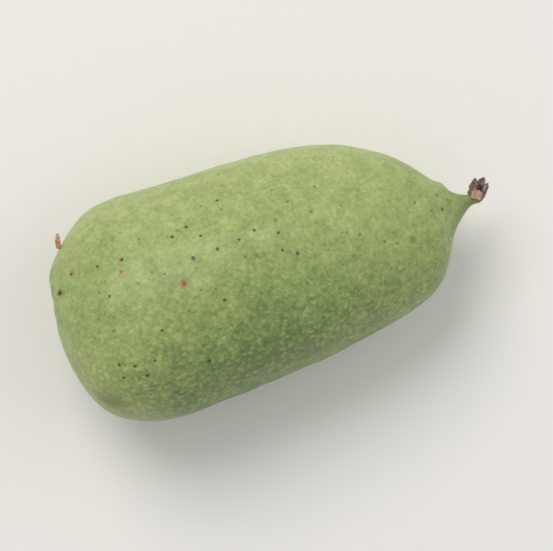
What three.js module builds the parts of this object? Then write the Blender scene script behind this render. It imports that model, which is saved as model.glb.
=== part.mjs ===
// A kiwi berry lying on its side: one plump green fruit that narrows to a short bent neck, a dried stem stub
// with five crumpled sepals on the end of that neck, and three dried flower flakes near the blossom scar.
// Millimetres, +Z up, +X from the blossom end to the stem end, bottom centre of the whole at the origin.
import * as THREE from "three";
import { mergeVertices } from "three/addons/utils/BufferGeometryUtils.js";

const { degToRad, smoothstep } = THREE.MathUtils;

// Driving dimensions of the fruit.
const FRUIT_LENGTH = 45; // blossom end to the root of the neck
const FRUIT_BREADTH = 25; // across the fattest part, seen from above
const FRUIT_THICKNESS = 24; // through the fattest part, seen from the side
const PRESS_DEPTH = 0.3; // how far the underside is pressed flat where the berry lies
const NOSE_DOWN = degToRad(4); // a tapered berry on its side dips towards its narrow end

// Rings of skin along the fruit, from the dimple at the blossom end to the tip of the neck.
// Each is [along, half breadth, sway to +Y, rise to +Z]: the first is a share of FRUIT_LENGTH,
// and the others are shares of half of FRUIT_BREADTH.
const STATIONS = [
  [0.011, 0.0, 0.16, 0.14],
  [0.008, 0.08, 0.15, 0.135],
  [0.0, 0.2, 0.12, 0.11],
  [0.014, 0.43, 0.03, 0.05],
  [0.06, 0.735, -0.045, 0.01],
  [0.11, 0.895, -0.045, 0.0],
  [0.19, 0.985, -0.05, 0.0],
  [0.27, 1.0, -0.03, 0.0],
  [0.39, 0.983, 0.042, 0.0],
  [0.56, 0.95, 0.145, 0.0],
  [0.73, 0.848, 0.217, 0.0],
  [0.86, 0.665, 0.21, 0.0],
  [0.942, 0.42, 0.21, 0.0],
  [0.977, 0.213, 0.362, 0.01],
  [1.006, 0.106, 0.41, 0.03],
  [1.028, 0.088, 0.403, 0.035],
  [1.038, 0.079, 0.4, 0.04],
  [1.04, 0.0, 0.403, 0.04],
];
const RINGS_PER_STATION = 3;
const SEGMENTS_AROUND = 44;

// The skin is a little three-sided, as berries grown in a bunch are.
const LOBE_COUNT = 3;
const LOBE_SHARE = 0.012;
const LOBE_TURN = degToRad(40);

// The rings turn to face +Y where the fruit runs into the neck.
const NECK_TURN = degToRad(53);
const NECK_TURN_STARTS = 0.964; // shares of FRUIT_LENGTH
const NECK_TURN_ENDS = 1.03;

// The dried stem end, which stands on the tip of the neck.
const TIP_BEND = degToRad(56); // from +X towards +Y
const TIP_GAP = 0.1; // from the tip of the neck to the foot of the collar
const COLLAR_RADIUS = 1.0; // the round foot that the stub and the sepals grow from
const COLLAR_HEIGHT = 0.28;
const STUB_RADIUS = 0.45;
const STUB_LENGTH = 1.5; // from the foot of the collar
const SEPAL_THICKNESS = 0.34;
const SEPAL_CUP = -0.5; // how much the sides fold round the stub, per millimetre
const SEPALS = [
  // turn about the stub from +Z, foot out from its axis and up from the foot of the collar, size,
  // lean outwards, and curl outwards from foot to tip; angles in degrees
  { turn: 0, out: 1.22, up: -0.13, length: 0.82, width: 1.2, lean: -8, curl: 20 },
  { turn: 58, out: 0.84, up: 0.3, length: 1.55, width: 1.15, lean: 4, curl: -12 },
  { turn: 170, out: 0.84, up: 0.3, length: 2.05, width: 1.2, lean: 1, curl: -8 },
  { turn: 243, out: 0.84, up: 0.3, length: 1.6, width: 0.95, lean: 5, curl: -10 },
  { turn: 314, out: 0.84, up: 0.3, length: 1.4, width: 1.02, lean: 6, curl: 12 },
];

// The dried flower flakes on the skin near the blossom scar.
const FLAKE_THICKNESS = 0.2;
const FLAKE_LIFT = 0.08; // from the skin to the tip of the foot of a flake
const FLAKE_CUP = 0.25;
const FLAKES = [
  // foot in stations and in turn from +Y towards +Z, size, its turns about the skin's outward line (yaw),
  // about its own length (roll) and off the skin (lean), and its curl off the skin; angles in degrees
  { station: 3.55, turn: 8, length: 1.75, width: 0.66, yaw: 0, roll: 62, lean: 28, curl: 12 },
  { station: 3.8, turn: 55, length: 0.7, width: 0.45, yaw: -12, roll: 10, lean: 16, curl: 20 },
  { station: 3.05, turn: 66, length: 1.0, width: 0.55, yaw: 10, roll: -10, lean: 12, curl: 10 },
];

// How far a dried blade tapers from its foot to its tip: 1 is the same at both ends.
const BLADE_TAPER = 1.35;
const BLADE_SIDES = 14;
const BLADE_RINGS = 10;
const STUB_SIDES = 16;

const SKIN = new THREE.MeshStandardMaterial({ color: 0x95a562, roughness: 0.5, metalness: 0 });
const BARK = new THREE.MeshStandardMaterial({ color: 0x54402f, roughness: 0.85, metalness: 0 });
const DRY_SEPAL = new THREE.MeshStandardMaterial({ color: 0x8c6b58, roughness: 0.8, metalness: 0 });
const DRY_FLAKE = new THREE.MeshStandardMaterial({ color: 0xa2774f, roughness: 0.8, metalness: 0 });

// Two smooth curves through the stations: how far along and how wide, and how far to the side and up.
const halfBreadth = FRUIT_BREADTH / 2;
const girth = new THREE.CatmullRomCurve3(
  STATIONS.map(([along, half]) => new THREE.Vector3(along * FRUIT_LENGTH, half * halfBreadth, 0)),
);
const spine = new THREE.CatmullRomCurve3(
  STATIONS.map(([along, , sway, rise]) =>
    new THREE.Vector3(along * FRUIT_LENGTH, sway * halfBreadth, rise * halfBreadth)),
);

// One ring of skin: its centre, its half breadth, and how far it is turned.
function ringAt(station) {
  const t = station / (STATIONS.length - 1);
  const { x: along, y: half } = girth.getPoint(t);
  const { y: sway, z: rise } = spine.getPoint(t);
  const turn = NECK_TURN * smoothstep(along / FRUIT_LENGTH, NECK_TURN_STARTS, NECK_TURN_ENDS);
  return { centre: new THREE.Vector3(along, sway, rise), half: Math.max(half, 0), turn };
}

// A point on the skin, with the angle counted from +Y towards +Z.
function skinPoint({ centre, half, turn }, angle) {
  const lobed = half * (1 + LOBE_SHARE * Math.cos(LOBE_COUNT * angle + LOBE_TURN));
  const across = lobed * Math.cos(angle);
  const upward = lobed * Math.sin(angle) * (FRUIT_THICKNESS / FRUIT_BREADTH);
  return new THREE.Vector3(-across * Math.sin(turn), across * Math.cos(turn), upward).add(centre);
}

// The fruit as grown: a turned profile whose rings are moved onto the skin.
function grownFruit() {
  const ringCount = RINGS_PER_STATION * (STATIONS.length - 1) + 1;
  const rings = Array.from({ length: ringCount }, (_, i) => ringAt(i / RINGS_PER_STATION));
  const profile = rings.map(({ half, centre }) => new THREE.Vector2(half, centre.x));
  const geometry = new THREE.LatheGeometry(profile, SEGMENTS_AROUND);
  const position = geometry.getAttribute("position");
  for (let i = 0; i < position.count; i++) {
    const angle = Math.atan2(position.getX(i), position.getZ(i));
    const { x, y, z } = skinPoint(rings[i % ringCount], angle);
    position.setXYZ(i, x, y, z);
  }
  geometry.deleteAttribute("normal");
  geometry.deleteAttribute("uv");
  return mergeVertices(geometry);
}

// Presses everything below the table up to the table, which leaves a small flat spot.
function pressFlat(geometry) {
  const position = geometry.getAttribute("position");
  for (let i = 0; i < position.count; i++) {
    position.setZ(i, Math.max(position.getZ(i), 0));
  }
  geometry.computeVertexNormals();
}

// The short woody stub that the stem left, with a collar at its foot and a rough broken end.
function stubGeometry() {
  const outline = [
    [0, 0],
    [0.85 * COLLAR_RADIUS, 0],
    [COLLAR_RADIUS, 0.45 * COLLAR_HEIGHT],
    [0.92 * COLLAR_RADIUS, 0.85 * COLLAR_HEIGHT],
    [1.2 * STUB_RADIUS, COLLAR_HEIGHT],
    [STUB_RADIUS, 0.4 * STUB_LENGTH],
    [0.85 * STUB_RADIUS, 0.8 * STUB_LENGTH],
    [0.95 * STUB_RADIUS, 0.96 * STUB_LENGTH],
    [0, STUB_LENGTH],
  ].map(([radius, height]) => new THREE.Vector2(radius, height));
  return new THREE.LatheGeometry(outline, STUB_SIDES).rotateZ(-Math.PI / 2);
}

// A dried blade that runs along +X from its foot, broadest below its middle, with its sides folded by the cup
// and its tip curled to +Z.
function bladeGeometry({ length, width, thickness, cup, curl }) {
  const blade = new THREE.SphereGeometry(1, BLADE_SIDES, BLADE_RINGS).rotateZ(Math.PI / 2);
  blade.scale(0.5, width / 2, thickness / 2).translate(0.5, 0, 0);
  const bendRadius = length / degToRad(curl);
  const position = blade.getAttribute("position");
  for (let i = 0; i < position.count; i++) {
    const y = position.getY(i);
    const reach = bendRadius - position.getZ(i) - cup * y * y;
    const along = length * Math.max(position.getX(i), 0) ** BLADE_TAPER;
    const turned = along / bendRadius;
    position.setXYZ(i, reach * Math.sin(turned), y, bendRadius - reach * Math.cos(turned));
  }
  return blade;
}

// One sepal, in a group that turns it about the stub.
function sepalSpoke(sepal, number) {
  const shape = { ...sepal, thickness: SEPAL_THICKNESS, cup: SEPAL_CUP };
  const mesh = new THREE.Mesh(bladeGeometry(shape), DRY_SEPAL);
  mesh.name = `sepal_${number}`;
  mesh.position.set(sepal.up, 0, sepal.out);
  mesh.rotation.y = -degToRad(sepal.lean);
  const spoke = new THREE.Group().add(mesh);
  spoke.rotation.x = degToRad(sepal.turn);
  return spoke;
}

// The stub and its ring of sepals, in a group whose +X runs out along the stem.
function stemEnd() {
  const stub = new THREE.Mesh(stubGeometry(), BARK);
  stub.name = "stem_stub";
  const end = new THREE.Group().add(stub, ...SEPALS.map((sepal, i) => sepalSpoke(sepal, i + 1)));
  end.position.copy(ringAt(STATIONS.length - 1).centre);
  end.rotation.z = TIP_BEND;
  end.translateX(TIP_GAP);
  return end;
}

// One flake, with its foot just off the skin. With no yaw, its length runs straight away from the scar.
function flakeOnSkin(flake, number) {
  const shape = { ...flake, thickness: FLAKE_THICKNESS, cup: FLAKE_CUP };
  const blade = bladeGeometry(shape).rotateX(degToRad(flake.roll)).rotateY(-degToRad(flake.lean));
  const mesh = new THREE.Mesh(blade.rotateZ(degToRad(flake.yaw)), DRY_FLAKE);
  mesh.name = `flower_flake_${number}`;
  const angle = degToRad(flake.turn);
  const step = 0.01;
  const foot = skinPoint(ringAt(flake.station), angle);
  const onward = skinPoint(ringAt(flake.station + step), angle).sub(foot).normalize();
  const around = skinPoint(ringAt(flake.station), angle + step).sub(foot);
  const outward = around.cross(onward).normalize();
  mesh.quaternion.setFromRotationMatrix(
    new THREE.Matrix4().makeBasis(onward, outward.clone().cross(onward), outward),
  );
  mesh.position.copy(foot).addScaledVector(outward, FLAKE_LIFT);
  return mesh;
}

// The fruit laid on its side, nose down, sunk a little and pressed flat underneath.
const fruitGeometry = grownFruit().rotateY(NOSE_DOWN);
fruitGeometry.computeBoundingBox();
const bedHeight = -fruitGeometry.boundingBox.min.z - PRESS_DEPTH;
fruitGeometry.translate(0, 0, bedHeight);
pressFlat(fruitGeometry);
const fruit = new THREE.Mesh(fruitGeometry, SKIN);
fruit.name = "fruit";

// The small dried pieces, laid down with the fruit.
const onFruit = new THREE.Group();
onFruit.rotation.y = NOSE_DOWN;
onFruit.position.z = bedHeight;
onFruit.add(stemEnd(), ...FLAKES.map((flake, i) => flakeOnSkin(flake, i + 1)));

const berry = new THREE.Group().add(fruit, onFruit);
const middle = new THREE.Box3().setFromObject(berry, true).getCenter(new THREE.Vector3());
berry.position.set(-middle.x, -middle.y, 0);

export default berry;
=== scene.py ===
"""A kiwi berry lying on its side on a pale table, seen from straight above."""
import math

import bpy
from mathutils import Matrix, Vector


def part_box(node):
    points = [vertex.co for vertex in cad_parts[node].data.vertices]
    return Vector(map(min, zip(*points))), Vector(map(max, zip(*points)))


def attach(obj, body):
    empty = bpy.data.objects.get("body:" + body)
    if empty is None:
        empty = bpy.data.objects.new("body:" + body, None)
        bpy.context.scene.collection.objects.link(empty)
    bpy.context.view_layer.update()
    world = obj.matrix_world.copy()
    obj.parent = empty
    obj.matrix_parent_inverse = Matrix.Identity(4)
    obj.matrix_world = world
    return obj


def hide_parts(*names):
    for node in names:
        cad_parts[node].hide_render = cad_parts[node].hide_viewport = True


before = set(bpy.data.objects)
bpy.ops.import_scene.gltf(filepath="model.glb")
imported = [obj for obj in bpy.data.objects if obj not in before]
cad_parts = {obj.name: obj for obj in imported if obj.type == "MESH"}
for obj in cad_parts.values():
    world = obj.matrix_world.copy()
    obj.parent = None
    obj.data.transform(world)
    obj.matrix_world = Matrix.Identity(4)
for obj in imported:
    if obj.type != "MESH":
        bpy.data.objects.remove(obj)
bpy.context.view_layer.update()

MM = 0.001
MERGE_DISTANCE = 0.001 * MM
CLEAR_OF_BERRY = 100  # millimetres from the origin, where a line towards the skin starts

# Relief of the fruit's skin: size of the bumps, and height from hollow to top.
SKIN_VOXEL = 0.22 * MM  # edge length of the finished skin mesh
SWELL_SIZE, SWELL_HEIGHT = 9 * MM, 0.5 * MM
RIPPLE_SIZE, RIPPLE_HEIGHT = 2.6 * MM, 0.09 * MM
PEEL_SIZE, PEEL_HEIGHT = 0.55 * MM, 0.022 * MM
PRESS_FADE = 2.5 * MM  # height over which the relief fades out towards the pressed spot
END_FADE = 6 * MM  # length over which swell and ripple fade out towards both ends
FRUIT_SMOOTHING, DRIED_SMOOTHING = 2, 3  # levels of subdivision

# Soft dents in the skin: place seen from above, depth and reach, in millimetres.
DENTS = [
    ((-3.0, -5.0), 0.22, 6.0),
    ((8.5, 7.5), 0.2, 5.0),
    ((-13.0, 8.0), 0.15, 5.0),
    ((12.0, -0.5), 0.18, 4.5),
]

# Furrows in the skin, in degrees about the neck or the blossom scar from +Y towards +Z.
FURROW_HALF_WIDTH_DEG = 4.5
NECK_FURROWS_DEG = [12, 58, 97, 131, 180, 222, 263, 318]
NECK_FURROW_SPAN = (18.4 * MM, 22.0 * MM)  # along X
NECK_FURROW_DEPTH = 0.2 * MM
NECK_AXIS_Y = 4.2 * MM
SCAR_FURROWS_DEG = [20, 75, 118, 170, 214, 262, 304, 340]
SCAR_FURROW_SPAN = (0.7 * MM, 3.4 * MM)  # from the middle of the scar
SCAR_FURROW_DEPTH = 0.36 * MM

# The corky button in the dimple at the blossom end, in millimetres.
SCAR_Y, SCAR_Z = 1.55, 13.6
SCAR_RISE, SCAR_REACH = 0.3, 1.1

# The dried stem end, which bends from +X towards +Y.
STEM_BEND = math.radians(56)
NOSE_DOWN = math.radians(4)
STEM_WAY = Vector((
    math.cos(STEM_BEND) * math.cos(NOSE_DOWN),
    math.sin(STEM_BEND),
    -math.cos(STEM_BEND) * math.sin(NOSE_DOWN),
))
COLLAR_TOP = 0.3  # millimetres above the foot of the stub

# Ends of the dried pieces: height of the slice that is drawn out, how far, and the share of its breadth left.
STUB_FOOT = (0.05 * MM, 0.35 * MM, 0.8)
SEPAL_FOOT = (0.2 * MM, 0.2 * MM, 1.1)
SEPAL_TIP = (0.1 * MM, 0.12 * MM, 0.35)
FLAKE_FOOT = (0.12 * MM, 0.2 * MM, 0.8)

# Folds of the dried pieces: size and height of the largest, and the share of both that finer ones have.
STUB_FOLDS = (0.5 * MM, 0.2 * MM)
SEPAL_FOLDS = (0.45 * MM, 0.3 * MM)
FLAKE_FOLDS = (0.4 * MM, 0.14 * MM)
FOLD_SHARES = (1.0, 0.4, 0.18)

# Marks on the side that shows, seen from above, in millimetres.
DARK_SPECKS = [
    (-5.6, 3.8), (1.1, 2.5), (-8.3, 3.3), (-3.2, 4.4), (-10.1, 5.9), (-8.5, 6.7), (-7.1, 5.5), (2.6, 1.9),
    (1.0, 4.4), (-12.8, -3.6), (-8.5, -7.6), (-14.1, -6.6), (-16.3, -6.8), (-17.9, -6.4), (-17.7, -7.8),
    (-15.2, -8.0), (-17.6, 0.9), (-18.4, 4.2), (-5.8, -1.6), (-4.8, 8.9), (18.7, 3.9), (18.4, 5.5),
    (-1.5, 5.1),
]
FAINT_SPECKS = [
    (-16.4, 6.7), (-13.6, 6.3), (-12.8, 2.6), (-11.5, 2.2), (-14.4, 1.7), (-9.7, -2.1), (-6.5, -0.3),
    (-8.8, -5.9), (-6.8, -7.4), (-6.7, -4.5), (-17.8, -2.8), (-2.9, 2.4), (-4.5, 7.9), (-6.6, 8.6),
    (2.5, 7.5), (0.9, 5.8), (17.3, 5.5), (8.4, 0.6), (8.2, 11.4), (13.6, 9.8), (4.8, 6.0), (1.1, 9.0),
    (5.6, 8.6), (9.4, 2.7), (8.1, 3.2), (7.1, -0.1), (16.6, 5.8), (19.5, 4.8), (17.5, 3.9), (18.7, 6.8),
    (-15.3, -10.1), (-16.1, -8.3),
]
SPECK_SIZE_SPREAD = 0.15  # share by which a speck may be larger or smaller than the rest
SPECK_SIZE_TURN = 2.4  # radians from one speck to the next, so that neighbours differ in size
DARK_SHARE, FAINT_SHARE, DOT_SHARE, PORE_SHARE = 0.86, 0.45, 0.7, 0.4  # of the specks' colour

# Blemishes: place seen from above, reach and soft edge in millimetres, share of its colour, and colour.
BLEMISHES = [
    ((14.9, 1.2), 0.6, 0.5, 0.6, "56613a"),  # dull spot
    ((-9.7, 0.8), 0.78, 0.55, 0.55, "a8744f"),  # red spot, its pale edge
    ((-9.7, 0.8), 0.44, 0.38, 0.85, "7c3f2e"),  # red spot, its middle
    ((-15.95, 2.95), 0.58, 0.5, 0.7, "bd8250"),  # orange spot
    ((-16.0, 3.28), 0.26, 0.24, 0.9, "3a3428"),  # dark dot in the orange spot
    ((-15.9, 4.5), 0.4, 0.34, 0.8, "ad6c50"),  # pink spot
    ((-15.7, 4.5), 0.26, 0.2, 0.95, "33302a"),  # dark dot in the pink spot
]
BLEMISH_WANDER = 0.6  # millimetres by which their edges wander

# The scuff: places seen from above in millimetres, and how much each axis counts around them.
SCUFF_PATCH, SCUFF_PATCH_STRETCH = (-19.6, -10.1), (0.35, 0.45, 0.45)
SCUFF_DOTS, SCUFF_DOTS_STRETCH = (-17.5, -11.4), (0.5, 1.5, 0.9)
SCUFF_STREAK_STRETCH = (0.6, 1.6, 1.6)

# Colours of the skin, written as in a paint program.
DEEP_GREEN, FRUIT_GREEN, PALE_GREEN = "607742", "9fb068", "c2cd8c"
NECK_GREEN, NECK_CORK = "6c8050", "8a7850"
SPECK_GREEN = "353f2b"
SCUFF_RUSSET, SCUFF_CORK = "84774a", "c4aa80"
SCAR_DULL, SCAR_RUSSET = "8a8450", "8f7a4e"
DARK_CORK, PALE_CORK = "3d2c1f", "9a7d58"

# Tone of the green: what each pattern adds to it. The higher it is, the paler the skin.
BROAD_TONE, CLOUD_TONE, BLOTCH_TONE, GRAIN_TONE = 0.18, 0.3, 0.3, 0.2
FLECK_TONE, LOW_SIDE_FLECK_TONE = 0.07, 0.14
FLECK_LEAST, FLECK_SPREAD, FLECK_MEAN = 0.4, 0.5, 0.3  # how strong the flecks are
TONE_DROP = 0.028  # for all of the skin
# Painted shade: the green is paler towards +Y and darker towards -Y.
PAINTED_SHADE_PER_MM = 0.01  # paler towards +Y
BLOSSOM_END_TONE = 0.15

# Roughness of the clean skin, and what its marks add to it.
SKIN_ROUGHNESS = 0.42
FLECK_ROUGHNESS, SPECK_ROUGHNESS, SCUFF_ROUGHNESS, CORK_ROUGHNESS = 0.14, 0.15, 0.2, 0.5

# Fine relief in the skin's finish: height of a fleck, and shares of it that a speck sinks and cork rises.
FLECK_HEIGHT = 0.03 * MM
SPECK_SINK, CORK_RISE = 0.8, 4

# Colours of the dried pieces: in the creases (painted shade), between them, and on the ridges (painted
# highlight) and pale fibres.
BARK = ("3a2a24", "66493c", "a08468")
TAN_SEPAL = ("9a7563", "c5a08c", "dcc3b3")
BROWN_SEPAL = ("493634", "8b7069", "b8a197")
ORANGE_FLAKE = ("8a5c44", "ca9a78", "dfbfa2")
RUSSET_FLAKE = ("5d3522", "9a6040", "c08f66")

# Finish of the dried pieces.
# The folds carry painted shade into the creases and a painted highlight onto the ridges; the fibres are the
# pieces' own grain.
FOLD_TONE, FIBRE_TONE = 0.7, 0.3
DRY_ROUGHNESS, FIBRE_ROUGHNESS = 0.72, 0.2
DRY_RELIEF = 0.06 * MM
COLLAR_PALE_SHARE = 0.8
COLLAR_PALE_SPAN = (0.35, 0.1)  # millimetres above the collar's top where it isn't pale, and is fully so
COLLAR_WANDER = 0.3  # millimetres by which that edge wanders

# The studio, in metres.
TABLE_SIZE, TABLE_SQUARES = 6.0, 8
SKY_STRENGTH = 0.55
CAMERA_HEIGHT = 0.45
CAMERA_TURN = math.radians(-10)
LENS, SENSOR_WIDTH = 265, 36  # millimetres


class Value:
    """A shader socket. Arithmetic on it adds Math nodes to its finish."""

    def __init__(self, finish, socket):
        self.finish = finish
        self.socket = socket

    def other(self, output):
        """Another output of the same node."""
        return Value(self.finish, find_socket(self.socket.node.outputs, output))

    def __add__(self, number):
        return self.finish.maths("ADD", self, number)

    __radd__ = __add__

    def __mul__(self, number):
        return self.finish.maths("MULTIPLY", self, number)

    __rmul__ = __mul__

    def __sub__(self, number):
        return self.finish.maths("SUBTRACT", self, number)

    def __rsub__(self, number):
        return self.finish.maths("SUBTRACT", number, self)


def find_socket(sockets, key):
    """A socket by its number, its identifier or its name."""
    if isinstance(key, int):
        return sockets[key]
    same = [one for one in sockets if one.identifier == key]
    return same[0] if same else sockets[key]


def linear(code):
    """A colour written as in a paint program, such as "95a562", as linear red, green, blue and alpha."""
    parts = [int(code[i:i + 2], 16) / 255 for i in (0, 2, 4)]
    return tuple(p / 12.92 if p <= 0.04045 else ((p + 0.055) / 1.055) ** 2.4 for p in parts) + (1.0,)


class Finish:
    """A procedural material that reads Object coordinates in millimetres."""

    def __init__(self, name):
        self.material = bpy.data.materials.new(name)
        self.material.use_nodes = True
        self.tree = self.material.node_tree
        self.shader = self.tree.nodes["Principled BSDF"]
        metres = self.node("ShaderNodeTexCoord", output="Object")
        self.place = self.vector("SCALE", {"Vector": metres, "Scale": 1 / MM})

    def node(self, kind, settings=None, sockets=None, output=0):
        """Adds a node, with its settings first and then the values or links of its sockets."""
        node = self.tree.nodes.new(kind)
        for key, value in (settings or {}).items():
            setattr(node, key, value)
        self.feed(node, sockets or {})
        return Value(self, find_socket(node.outputs, output))

    def feed(self, node, sockets):
        for key, value in sockets.items():
            socket = find_socket(node.inputs, key)
            if isinstance(value, Value):
                self.tree.links.new(value.socket, socket)
            else:
                socket.default_value = value

    def maths(self, operation, *numbers):
        return self.node("ShaderNodeMath", {"operation": operation}, dict(enumerate(numbers)))

    def largest(self, value, *others):
        for other in others:
            value = self.maths("MAXIMUM", value, other)
        return value

    def vector(self, operation, sockets, output=0):
        return self.node("ShaderNodeVectorMath", {"operation": operation}, sockets, output)

    def noise(self, per_mm, detail=2.0, roughness=0.5, place=None):
        sockets = {"Vector": place or self.place, "Scale": per_mm, "Detail": detail, "Roughness": roughness}
        return self.node("ShaderNodeTexNoise", None, sockets, "Fac")

    def wander(self, most, per_mm, detail=2.0, roughness=0.5):
        """Millimetres, from 0 to the most, that make an edge wander."""
        return self.noise(per_mm, detail, roughness) * most

    def cells(self, per_mm, place=None):
        """The distance to the middle of the nearest cell, in cells."""
        sockets = {"Vector": place or self.place, "Scale": per_mm}
        return self.node("ShaderNodeTexVoronoi", None, sockets, "Distance")

    def chance(self, cells):
        """A number from 0 to 1 that differs from cell to cell."""
        return self.node("ShaderNodeSeparateColor", None, {0: cells.other("Color")}, "Red")

    def step(self, value, none_at, full_at):
        """0 where the value is at or beyond the first number, 1 at or beyond the second, smooth between."""
        sockets = {"Value": value, "From Min": none_at, "From Max": full_at}
        return self.node("ShaderNodeMapRange", {"interpolation_type": "SMOOTHSTEP"}, sockets, "Result")

    def mix(self, share, base, top):
        sockets = {"Factor_Float": share, "A_Color": base, "B_Color": top}
        return self.node("ShaderNodeMix", {"data_type": "RGBA"}, sockets, "Result_Color")

    def paint(self, base, where, colour, share):
        """Lays a share of a colour over the base, where there is any."""
        return self.mix(where * share, base, linear(colour))

    def distance(self, point):
        """Millimetres from a point of the piece."""
        return self.vector("DISTANCE", {0: self.place, 1: point}, "Value")

    def nearest(self, points):
        """Millimetres from the nearest of some points, a little more or less for each of them."""
        least = None
        for i, point in enumerate(points):
            away = self.distance(point) * (1.0 + SPECK_SIZE_SPREAD * math.sin(SPECK_SIZE_TURN * i))
            least = away if least is None else self.maths("MINIMUM", least, away)
        return least

    def bump(self, height, depth):
        sockets = {"Strength": 1.0, "Distance": depth, "Height": height}
        return self.node("ShaderNodeBump", None, sockets, "Normal")

    def shade(self, **sockets):
        """Sets or links the shader's own sockets, and gives the finished material."""
        self.feed(self.shader, {key.replace("_", " "): value for key, value in sockets.items()})
        return self.material


def copy_of_node(node, name):
    """A new piece with a copy of a CAD node's mesh, its loose triangles merged and paired into quads."""
    bpy.ops.object.select_all(action="DESELECT")
    piece = bpy.data.objects.new(name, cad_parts[node].data.copy())
    bpy.context.scene.collection.objects.link(piece)
    bpy.context.view_layer.objects.active = piece
    piece.select_set(True)
    bpy.ops.object.mode_set(mode="EDIT")
    bpy.ops.mesh.select_mode(type="VERT")
    bpy.ops.mesh.select_all(action="SELECT")
    bpy.ops.mesh.remove_doubles(threshold=MERGE_DISTANCE)
    bpy.ops.mesh.tris_convert_to_quads()
    bpy.ops.object.mode_set(mode="OBJECT")
    return piece


def select_where(piece, passes):
    """Selects the vertices whose place passes a test, and leaves the piece in edit mode."""
    bpy.ops.object.mode_set(mode="EDIT")
    bpy.ops.mesh.select_all(action="DESELECT")
    bpy.ops.object.mode_set(mode="OBJECT")
    for vertex in piece.data.vertices:
        vertex.select = passes(vertex.co)
    bpy.ops.object.mode_set(mode="EDIT")


def add_modifier(piece, kind, **settings):
    """Adds a modifier and applies it."""
    modifier = piece.modifiers.new(kind.lower(), kind)
    for key, value in settings.items():
        setattr(modifier, key, value)
    bpy.ops.object.modifier_apply(modifier=modifier.name)


def subdivide(piece, levels):
    add_modifier(piece, "SUBSURF", levels=levels, render_levels=levels)


def relief(piece, name, size, height, group=""):
    """Raises and lowers the surface by cloudy bumps of the given size."""
    texture = bpy.data.textures.new(name, "CLOUDS")
    texture.noise_scale = size
    settings = {"texture_coords": "LOCAL", "strength": height, "vertex_group": group}
    add_modifier(piece, "DISPLACE", texture=texture, **settings)


def skin_from(piece, start, toward):
    """Where a straight line from a start point, in millimetres, meets the piece, in millimetres."""
    point = piece.ray_cast(Vector(start) * MM, Vector(toward))[1]
    return tuple(point / MM)


def skin_above(piece, xy):
    return skin_from(piece, (*xy, CLEAR_OF_BERRY), (0, 0, -1))


def scar_middle(piece):
    return skin_from(piece, (-CLEAR_OF_BERRY, SCAR_Y, SCAR_Z), (1, 0, 0))


def move_skin(piece, middle, move, reach):
    """Moves the skin around a point softly, all in millimetres."""
    middle = Vector(middle) * MM
    nearest = min(piece.data.vertices, key=lambda vertex: (vertex.co - middle).length).co.copy()
    select_where(piece, lambda place: (place - nearest).length < MERGE_DISTANCE)
    bpy.ops.transform.translate(
        value=Vector(move) * MM,
        use_proportional_edit=True,
        proportional_edit_falloff="SMOOTH",
        proportional_size=reach * MM,
    )
    bpy.ops.object.mode_set(mode="OBJECT")


def press_furrows(piece, axis, furrows, in_span, depth):
    """Draws in narrow furrows, which lie in a span and at angles about an axis along X."""
    def in_furrow(place):
        angle = math.degrees(math.atan2(place.z - axis.z, place.y - axis.y)) % 360
        close = any(abs(angle - furrow) < FURROW_HALF_WIDTH_DEG for furrow in furrows)
        return close and in_span(place)

    select_where(piece, in_furrow)
    bpy.ops.transform.shrink_fatten(value=-depth)
    bpy.ops.object.mode_set(mode="OBJECT")


def furrow_neck(piece):
    start, end = NECK_FURROW_SPAN
    axis = Vector((0, NECK_AXIS_Y, sum(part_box("stem_stub"), Vector()).z / 2))
    press_furrows(piece, axis, NECK_FURROWS_DEG, lambda place: start < place.x < end, NECK_FURROW_DEPTH)


def furrow_scar(piece):
    """Presses furrows around the blossom scar, and raises its corky button between them."""
    start, end = SCAR_FURROW_SPAN
    axis = Vector(scar_middle(piece)) * MM

    def in_span(place):
        return start < (place - axis).length < end

    press_furrows(piece, axis, SCAR_FURROWS_DEG, in_span, SCAR_FURROW_DEPTH)
    move_skin(piece, scar_middle(piece), (-SCAR_RISE, 0, 0), SCAR_REACH)


def relief_group(piece, name, share):
    """A vertex group whose weights say how much of a relief each place of the skin takes."""
    group = piece.vertex_groups.new(name=name)
    for vertex in piece.data.vertices:
        group.add([vertex.index], min(max(share(vertex.co), 0), 1), "REPLACE")
    return name


def make_fruit():
    """The whole berry: dented and furrowed, evenly meshed, and then given its relief."""
    piece = copy_of_node("fruit", "fruit_skin")
    for xy, depth, reach in DENTS:
        move_skin(piece, skin_above(piece, xy), (0, 0, -depth), reach)
    furrow_neck(piece)
    furrow_scar(piece)
    subdivide(piece, FRUIT_SMOOTHING)
    add_modifier(piece, "REMESH", mode="VOXEL", voxel_size=SKIN_VOXEL, use_smooth_shade=True)

    low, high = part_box("fruit")
    off_spot = relief_group(piece, "off_spot", lambda place: place.z / PRESS_FADE)
    body = relief_group(
        piece,
        "body",
        lambda place: min(place.z / PRESS_FADE, (place.x - low.x) / END_FADE, (high.x - place.x) / END_FADE),
    )
    relief(piece, "swell", SWELL_SIZE, SWELL_HEIGHT, body)
    relief(piece, "ripple", RIPPLE_SIZE, RIPPLE_HEIGHT, body)
    relief(piece, "peel", PEEL_SIZE, PEEL_HEIGHT, off_spot)
    bpy.ops.object.shade_smooth()
    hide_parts("fruit")
    return piece


def draw_end(piece, way, slice_height, length, breadth):
    """Draws out the end of a piece that lies furthest along a direction, to a share of its breadth."""
    furthest = max(vertex.co @ way for vertex in piece.data.vertices)
    select_where(piece, lambda place: place @ way > furthest - slice_height)
    bpy.ops.mesh.select_mode(type="FACE")
    bpy.ops.mesh.extrude_region_move(TRANSFORM_OT_translate={"value": length * way})
    bpy.ops.transform.resize(value=(breadth, breadth, breadth))
    bpy.ops.mesh.select_mode(type="VERT")
    bpy.ops.object.mode_set(mode="OBJECT")


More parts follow.
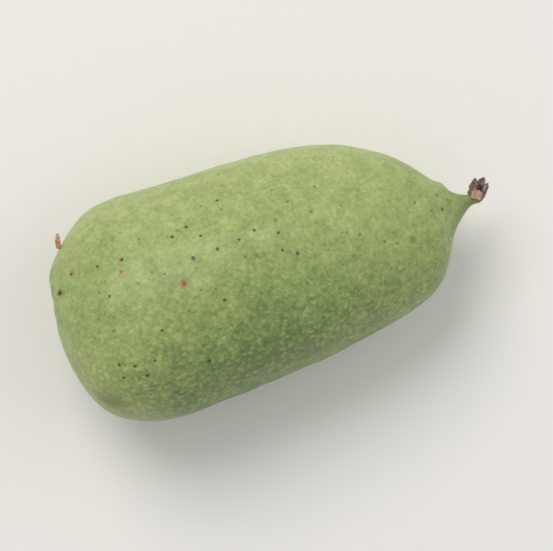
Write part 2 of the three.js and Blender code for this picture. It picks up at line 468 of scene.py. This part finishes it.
def put_in_order(piece):
    """Numbers the faces and edges of a mesh by its vertices, because extruding orders them anew each run."""
    places = [vertex.co.copy() for vertex in piece.data.vertices]
    faces = sorted(tuple(face.vertices) for face in piece.data.polygons)
    piece.data.clear_geometry()
    piece.data.from_pydata(places, [], faces)


def crumple(piece, size, height):
    """Smooths a dried piece, and then crumples it at several sizes."""
    put_in_order(piece)
    subdivide(piece, DRIED_SMOOTHING)
    for share in FOLD_SHARES:
        relief(piece, "crumple", size * share, height * share)
    bpy.ops.object.shade_smooth()


def make_stub():
    """The dried stub of the stem, whose foot is drawn out into the neck."""
    piece = copy_of_node("stem_stub", "stem_stub_dry")
    draw_end(piece, -STEM_WAY, *STUB_FOOT)
    crumple(piece, *STUB_FOLDS)
    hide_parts("stem_stub")
    return piece


def make_sepal(number):
    """A dried sepal, whose foot reaches into the collar and whose tip is pinched."""
    node = f"sepal_{number}"
    piece = copy_of_node(node, f"{node}_dry")
    draw_end(piece, -STEM_WAY, *SEPAL_FOOT)
    draw_end(piece, STEM_WAY, *SEPAL_TIP)
    crumple(piece, *SEPAL_FOLDS)
    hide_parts(node)
    return piece


def make_flake(number, fruit):
    """A dried bit of flower, whose foot reaches into the skin."""
    node = f"flower_flake_{number}"
    piece = copy_of_node(node, f"{node}_dry")
    middle = sum(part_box(node), Vector()) / 2
    outward = fruit.closest_point_on_mesh(middle)[2]
    draw_end(piece, -outward, *FLAKE_FOOT)
    crumple(piece, *FLAKE_FOLDS)
    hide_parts(node)
    return piece


def skin_green(skin, x, y):
    """The green itself: broad patches, soft clouds, blotches, fine grain and light flecks, and painted shade
    that darkens it towards -Y.
    """
    broad = skin.noise(per_mm=0.07)
    clouds = skin.noise(per_mm=0.55, detail=3, roughness=0.55)
    blotches = skin.noise(per_mm=1.9)
    grain = skin.noise(per_mm=4.5, detail=1)
    uneven_place = skin.vector("ADD", {0: skin.place, 1: blotches.other("Color")})
    cells = skin.cells(per_mm=1.5, place=uneven_place)
    flecks = skin.step(cells, none_at=0.65, full_at=0.1) * (skin.chance(cells) * FLECK_SPREAD + FLECK_LEAST)
    low_side = skin.step(y, none_at=5.0, full_at=-9.0)
    blossom_end = skin.step(x, none_at=-10.0, full_at=-18.0)
    tone = broad * BROAD_TONE + clouds * CLOUD_TONE + blotches * BLOTCH_TONE + grain * GRAIN_TONE
    tone = tone + (flecks - FLECK_MEAN) * (low_side * LOW_SIDE_FLECK_TONE + FLECK_TONE)
    # Painted shade: paler towards +Y and darker towards -Y, and lifted again on the low side at the blossom
    # end.
    tone = tone - TONE_DROP + y * PAINTED_SHADE_PER_MM + blossom_end * low_side * BLOSSOM_END_TONE
    green = skin.mix(skin.step(tone, none_at=0.18, full_at=0.56), linear(DEEP_GREEN), linear(FRUIT_GREEN))
    return skin.mix(skin.step(tone, none_at=0.46, full_at=0.78), green, linear(PALE_GREEN)), flecks


def add_neck(skin, green, x):
    """Deeper, duller green towards the neck, and a corky rim under the collar."""
    neck = skin.step(x + skin.wander(2, per_mm=0.5), none_at=20.2, full_at=23.0)
    green = skin.paint(green, neck, NECK_GREEN, share=0.6)
    rim = skin.step(x + skin.wander(0.8, per_mm=1.6, detail=3), none_at=22.4, full_at=22.9)
    return skin.paint(green, rim, NECK_CORK, share=0.6)


def add_specks(skin, green, fruit):
    """Dark specks where they show, fainter ones between them, and small ones all over the skin."""
    ragged = skin.wander(0.16, per_mm=4.0)

    def specks_at(places, none_at, full_at):
        away = skin.nearest([skin_above(fruit, xy) for xy in places])
        return skin.step(away + ragged, none_at, full_at)

    def specks_in_cells(per_mm, spread, none_at, full_at):
        cells = skin.cells(per_mm)
        return skin.step(cells - skin.chance(cells) * spread, none_at, full_at)

    dark = specks_at(DARK_SPECKS, none_at=0.34, full_at=0.17)
    faint = specks_at(FAINT_SPECKS, none_at=0.33, full_at=0.14)
    crowded = skin.step(skin.noise(per_mm=0.14), none_at=0.4, full_at=0.52)
    dots = specks_in_cells(per_mm=0.5, spread=0.16, none_at=-0.03, full_at=-0.09) * crowded
    pores = specks_in_cells(per_mm=0.75, spread=0.22, none_at=-0.05, full_at=-0.12)
    specks = skin.largest(dark * DARK_SHARE, faint * FAINT_SHARE, dots * DOT_SHARE, pores * PORE_SHARE)
    return skin.mix(specks, green, linear(SPECK_GREEN)), specks


def add_blemishes(skin, green, fruit):
    """Soft spots with wandering edges, each laid over those before it."""
    wander = skin.wander(BLEMISH_WANDER, per_mm=2.4, detail=3)
    for xy, reach, soft, share, colour in BLEMISHES:
        away = skin.distance(skin_above(fruit, xy)) + wander
        edge = reach + BLEMISH_WANDER / 2
        spot = skin.step(away, none_at=edge, full_at=edge - soft)
        green = skin.paint(green, spot, colour, share)
    return green


def add_scuff(skin, green, fruit):
    """A streaky russet scuff, low on one side: a dull patch, and pale corky dots beside its middle."""
    def around(xy, stretch):
        off = skin.vector("SUBTRACT", {0: skin.place, 1: skin_above(fruit, xy)})
        return skin.vector("LENGTH", {0: skin.vector("MULTIPLY", {0: off, 1: stretch})}, "Value")

    drawn_out = skin.vector("MULTIPLY", {0: skin.place, 1: SCUFF_STREAK_STRETCH})
    streaks = skin.noise(per_mm=1.0, detail=4, roughness=0.65, place=drawn_out)
    patch = skin.step(around(SCUFF_PATCH, SCUFF_PATCH_STRETCH) + streaks, none_at=1.5, full_at=0.7)
    row = skin.step(around(SCUFF_DOTS, SCUFF_DOTS_STRETCH), none_at=1.0, full_at=0.7)
    dots = row * skin.step(skin.noise(per_mm=2.4), none_at=0.52, full_at=0.62)
    green = skin.paint(green, patch, SCUFF_RUSSET, share=0.48)
    return skin.paint(green, dots, SCUFF_CORK, share=0.8), patch


def add_scar(skin, green, fruit):
    """The corky blossom scar in its dimple, with dull and russeted skin around it."""
    away = skin.distance(scar_middle(fruit)) + skin.wander(1.6, per_mm=1.7, detail=4, roughness=0.65)
    fibres = skin.noise(per_mm=4.5, detail=4, roughness=0.65)
    dull = skin.step(away, none_at=3.4, full_at=1.7)
    green = skin.paint(green, dull, SCAR_DULL, share=0.5)
    russet = skin.step(away, none_at=2.3, full_at=1.9) * skin.step(fibres, none_at=0.42, full_at=0.55)
    green = skin.paint(green, russet, SCAR_RUSSET, share=0.7)
    cork = skin.mix(skin.step(fibres, none_at=0.4, full_at=0.62), linear(DARK_CORK), linear(PALE_CORK))
    scar = skin.step(away, none_at=1.75, full_at=1.45)
    return skin.mix(scar, green, cork), scar * fibres


def skin_finish(fruit):
    skin = Finish("fruit_skin")
    x = skin.node("ShaderNodeSeparateXYZ", None, {0: skin.place}, "X")
    green, flecks = skin_green(skin, x, x.other("Y"))
    green = add_neck(skin, green, x)
    green, specks = add_specks(skin, green, fruit)
    green = add_blemishes(skin, green, fruit)
    green, scuff = add_scuff(skin, green, fruit)
    green, cork = add_scar(skin, green, fruit)
    roughness = SKIN_ROUGHNESS + flecks * FLECK_ROUGHNESS + specks * SPECK_ROUGHNESS
    roughness = roughness + scuff * SCUFF_ROUGHNESS + cork * CORK_ROUGHNESS
    return skin.shade(
        Base_Color=green,
        Roughness=roughness,
        Normal=skin.bump(flecks - specks * SPECK_SINK + cork * CORK_RISE, FLECK_HEIGHT),
        Subsurface_Weight=0.18,
        Subsurface_Radius=(0.7, 1.0, 0.3),
        Subsurface_Scale=1.2 * MM,
        Specular_IOR_Level=0.4,
        Coat_Weight=0.06,
        Coat_Roughness=0.35,
    )


def collar_in(dry, folds):
    """Where a dried piece is part of the collar, with an edge that follows its folds."""
    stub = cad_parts["stem_stub"].data.vertices
    top = min(vertex.co @ STEM_WAY for vertex in stub) / MM + COLLAR_TOP
    height = dry.vector("DOT_PRODUCT", {0: dry.place, 1: STEM_WAY}, "Value") + folds * COLLAR_WANDER
    none, full = COLLAR_PALE_SPAN
    return dry.step(height, none_at=top + none, full_at=top + full)


def dried_finish(name, colours, pale_collar=False):
    """A dry brown, with painted shade in its creases, a painted highlight on its ridges, pale fibres, and a
    pale collar if it has one.
    """
    dry = Finish(name)
    dark, middle, pale = [linear(colour) for colour in colours]
    folds = dry.noise(per_mm=1.9, detail=4, roughness=0.6)
    fibres = dry.noise(per_mm=6.5, detail=3, roughness=0.6)
    tone = folds * FOLD_TONE + fibres * FIBRE_TONE
    # Painted shade: darker where the folds sink.
    brown = dry.mix(dry.step(tone, none_at=0.32, full_at=0.55), dark, middle)
    # Painted highlight where the folds rise, and paler fibres.
    ridge_highlight_and_collar = dry.step(tone, none_at=0.53, full_at=0.67)
    if pale_collar:
        ridge_highlight_and_collar = dry.largest(ridge_highlight_and_collar, collar_in(dry, folds) * COLLAR_PALE_SHARE)
    return dry.shade(
        Base_Color=dry.mix(ridge_highlight_and_collar, brown, pale),
        Roughness=DRY_ROUGHNESS + fibres * FIBRE_ROUGHNESS,
        Normal=dry.bump(tone, DRY_RELIEF),
        Specular_IOR_Level=0.3,
    )


def give(piece, material):
    """Gives a piece its material, and lets it ride with the berry."""
    piece.data.materials.clear()
    piece.data.materials.append(material)
    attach(piece, "root")


def make_berry():
    fruit = make_fruit()
    give(fruit, skin_finish(fruit))
    give(make_stub(), dried_finish("bark", BARK, pale_collar=True))
    tan = dried_finish("tan_sepal", TAN_SEPAL)
    brown = dried_finish("brown_sepal", BROWN_SEPAL)
    for number, material in enumerate([tan, brown, brown, brown, brown], start=1):
        give(make_sepal(number), material)
    orange = dried_finish("orange_flake", ORANGE_FLAKE)
    russet = dried_finish("russet_flake", RUSSET_FLAKE)
    for number, material in enumerate([orange, orange, russet], start=1):
        give(make_flake(number, fruit), material)


def make_table():
    bpy.ops.object.select_all(action="DESELECT")
    bpy.ops.mesh.primitive_grid_add(
        x_subdivisions=TABLE_SQUARES,
        y_subdivisions=TABLE_SQUARES,
        size=TABLE_SIZE,
        location=(0, 0, 0),
    )
    table = bpy.context.object
    table.name = "table"
    table.data.materials.append(Finish("table").shade(Base_Color=linear("f3f0eb"), Roughness=0.8))


def add_light(name, place, size, power, colour):
    """A round soft light that faces the middle of the table."""
    data = bpy.data.lights.new(name, "AREA")
    data.shape = "DISK"
    data.size = size
    data.energy = power
    data.color = colour
    light = bpy.data.objects.new(name, data)
    light.location = place
    light.rotation_euler = (-Vector(place)).to_track_quat("-Z", "Y").to_euler()
    bpy.context.scene.collection.objects.link(light)


def make_light():
    world = bpy.data.worlds.new("studio")
    world.use_nodes = True
    background = world.node_tree.nodes["Background"]
    background.inputs["Color"].default_value = linear("f0f1f3")
    background.inputs["Strength"].default_value = SKY_STRENGTH
    bpy.context.scene.world = world
    add_light("key", place=(-0.14, 0.36, 0.58), size=0.4, power=2.25, colour=(1.0, 0.98, 0.95))
    add_light("fill", place=(0.5, 0.05, 0.5), size=0.6, power=0.7, colour=(0.97, 0.99, 1.0))
    bpy.context.scene.view_settings.view_transform = "Standard"


def make_camera():
    """Looks straight down, turned so that the berry lies aslant in the picture."""
    data = bpy.data.cameras.new("camera")
    data.lens = LENS
    data.sensor_width = SENSOR_WIDTH
    camera = bpy.data.objects.new("camera", data)
    camera.location = (0, 0, CAMERA_HEIGHT)
    camera.rotation_euler = (0, 0, CAMERA_TURN)
    bpy.context.scene.collection.objects.link(camera)
    bpy.context.scene.camera = camera


make_camera()
make_light()
make_table()
make_berry()
